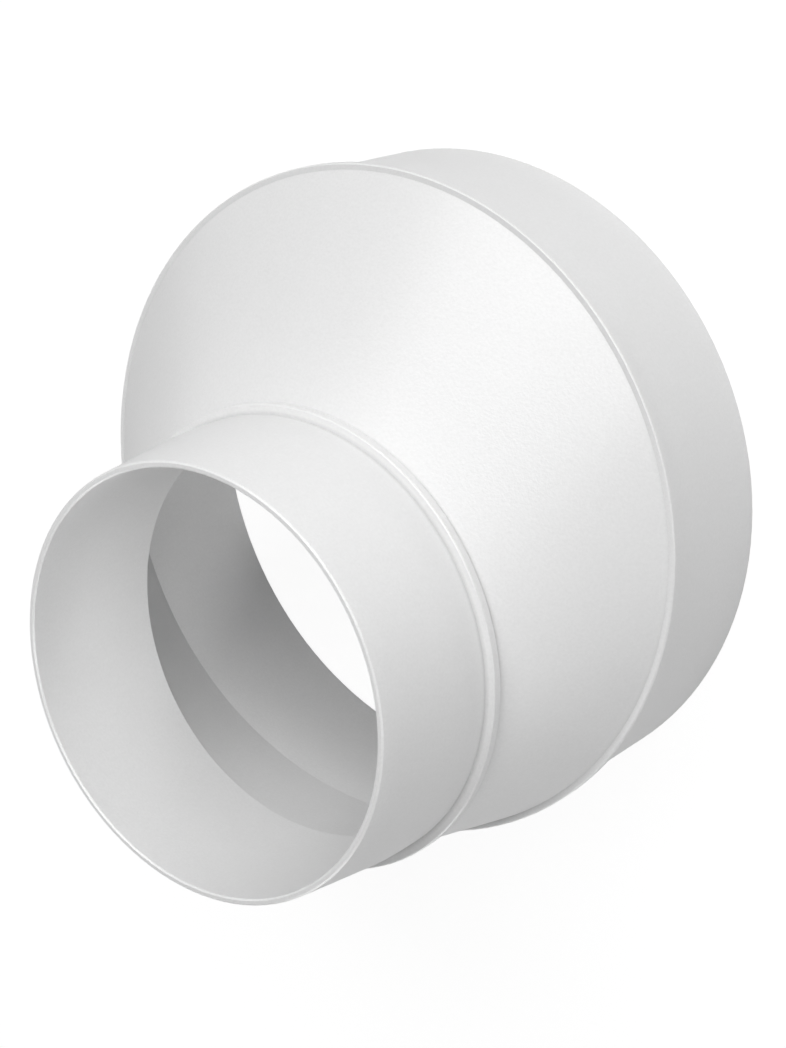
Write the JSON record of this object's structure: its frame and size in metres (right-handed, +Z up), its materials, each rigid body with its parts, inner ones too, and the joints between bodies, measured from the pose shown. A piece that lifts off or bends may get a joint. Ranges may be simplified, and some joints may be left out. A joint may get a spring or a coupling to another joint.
{
  "type": "duct reducer",
  "caption": "Eccentric round duct reducer: a short oblique cone joins a small and a large spigot, with a stop bead at each root and one flat side.",
  "frame": {"origin": "on the plane of the large rim, on which the part stands, at the centre of the large spigot", "axes": "+Z up along the air path from the large spigot to the small one, +Y from the sloping front to the flat back, +X across"},
  "size_m": [0.1512, 0.1512, 0.0948],
  "materials": {
    "white_plastic": "satin white moulded plastic"
  },
  "bodies": {
    "root": {"duct_reducer": "white_plastic"}
  },
  "joints": []
}
